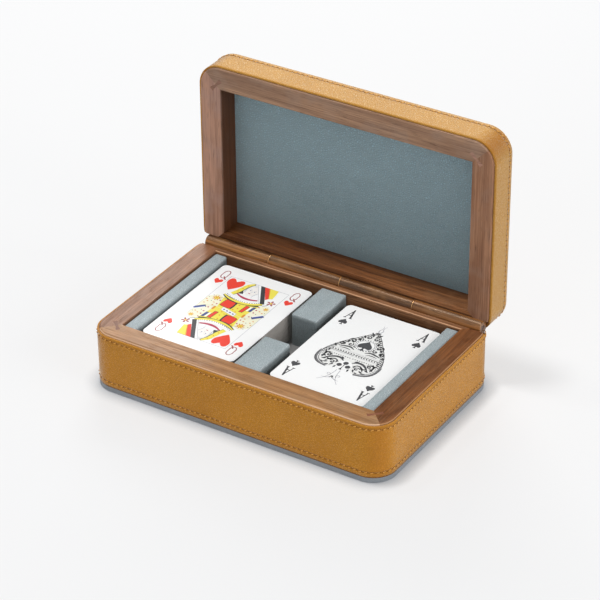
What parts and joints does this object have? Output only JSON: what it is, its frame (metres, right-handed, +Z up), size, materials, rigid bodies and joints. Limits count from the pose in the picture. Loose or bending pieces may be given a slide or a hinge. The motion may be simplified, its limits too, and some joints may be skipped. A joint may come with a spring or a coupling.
{
  "type": "playing card box",
  "caption": "Leather-clad walnut box for playing cards, with padded wells, bow-tie keyed corners and a lid on a full-width wooden barrel hinge that stands open.",
  "frame": {"origin": "centre of the underside of the tray", "axes": "+X along the length, +Y towards the hinge, +Z up; the lid stands open at a right angle"},
  "size_m": [0.2, 0.142, 0.1603],
  "materials": {
    "walnut": "oiled, satin, with rounded edges",
    "key_wood": "oiled, satin, reddish",
    "tan_leather": "pebbled mustard tan, stitched in cream thread",
    "blue_leather": "fine grain, matt blue grey",
    "sole_leather": "plain matt grey",
    "suede": "short taupe nap",
    "board": "plain fibre board, hidden",
    "steel": "drawn rod",
    "card_stock": "cut edges of a stack of cards",
    "card_face": "coated card with a printed face"
  },
  "bodies": {
    "tray": {"base_sole": "sole_leather", "base_floor_board": "board", "base_floor_lining": "suede", "base_front_rail": "walnut", "base_back_rail": "walnut", "base_left_rail": "walnut", "base_right_rail": "walnut", "base_corner_keys": "key_wood", "base_leather_band": "tan_leather", "left_end_strip_core": "board", "left_end_strip_cover": "blue_leather", "right_end_strip_core": "board", "right_end_strip_cover": "blue_leather", "front_divider_core": "board", "front_divider_cover": "blue_leather", "rear_divider_core": "board", "rear_divider_cover": "blue_leather", "hinge_knuckle_1": "walnut", "hinge_knuckle_3": "walnut", "hinge_pin": "steel", "hinge_plug_left": "key_wood"},
    "lid": {"lid_front_rail": "walnut", "lid_back_rail": "walnut", "lid_left_rail": "walnut", "lid_right_rail": "walnut", "lid_corner_keys": "key_wood", "lid_leather_band": "tan_leather", "lid_lining": "blue_leather", "lid_board": "board", "lid_leather_top": "tan_leather", "hinge_knuckle_2": "walnut", "hinge_knuckle_4": "walnut", "hinge_plug_right": "key_wood"},
    "left_deck": {"left_deck_stack": "card_stock", "left_deck_top_card": "card_face"},
    "right_deck": {"right_deck_stack": "card_stock", "right_deck_top_card": "card_face"}
  },
  "joints": [
    {"name": "lid_hinge", "type": "hinge", "parent": "tray", "child": "lid", "pos_m": [0, 0.0574, 0.0389], "axis": [-1, 0, 0], "range_deg": [-90, 0]},
    {"name": "left_deck_lift", "type": "slide", "parent": "tray", "child": "left_deck", "axis": [0, 0, 1], "range_m": [0, 0.15]},
    {"name": "right_deck_lift", "type": "slide", "parent": "tray", "child": "right_deck", "axis": [0, 0, 1], "range_m": [0, 0.15]}
  ]
}
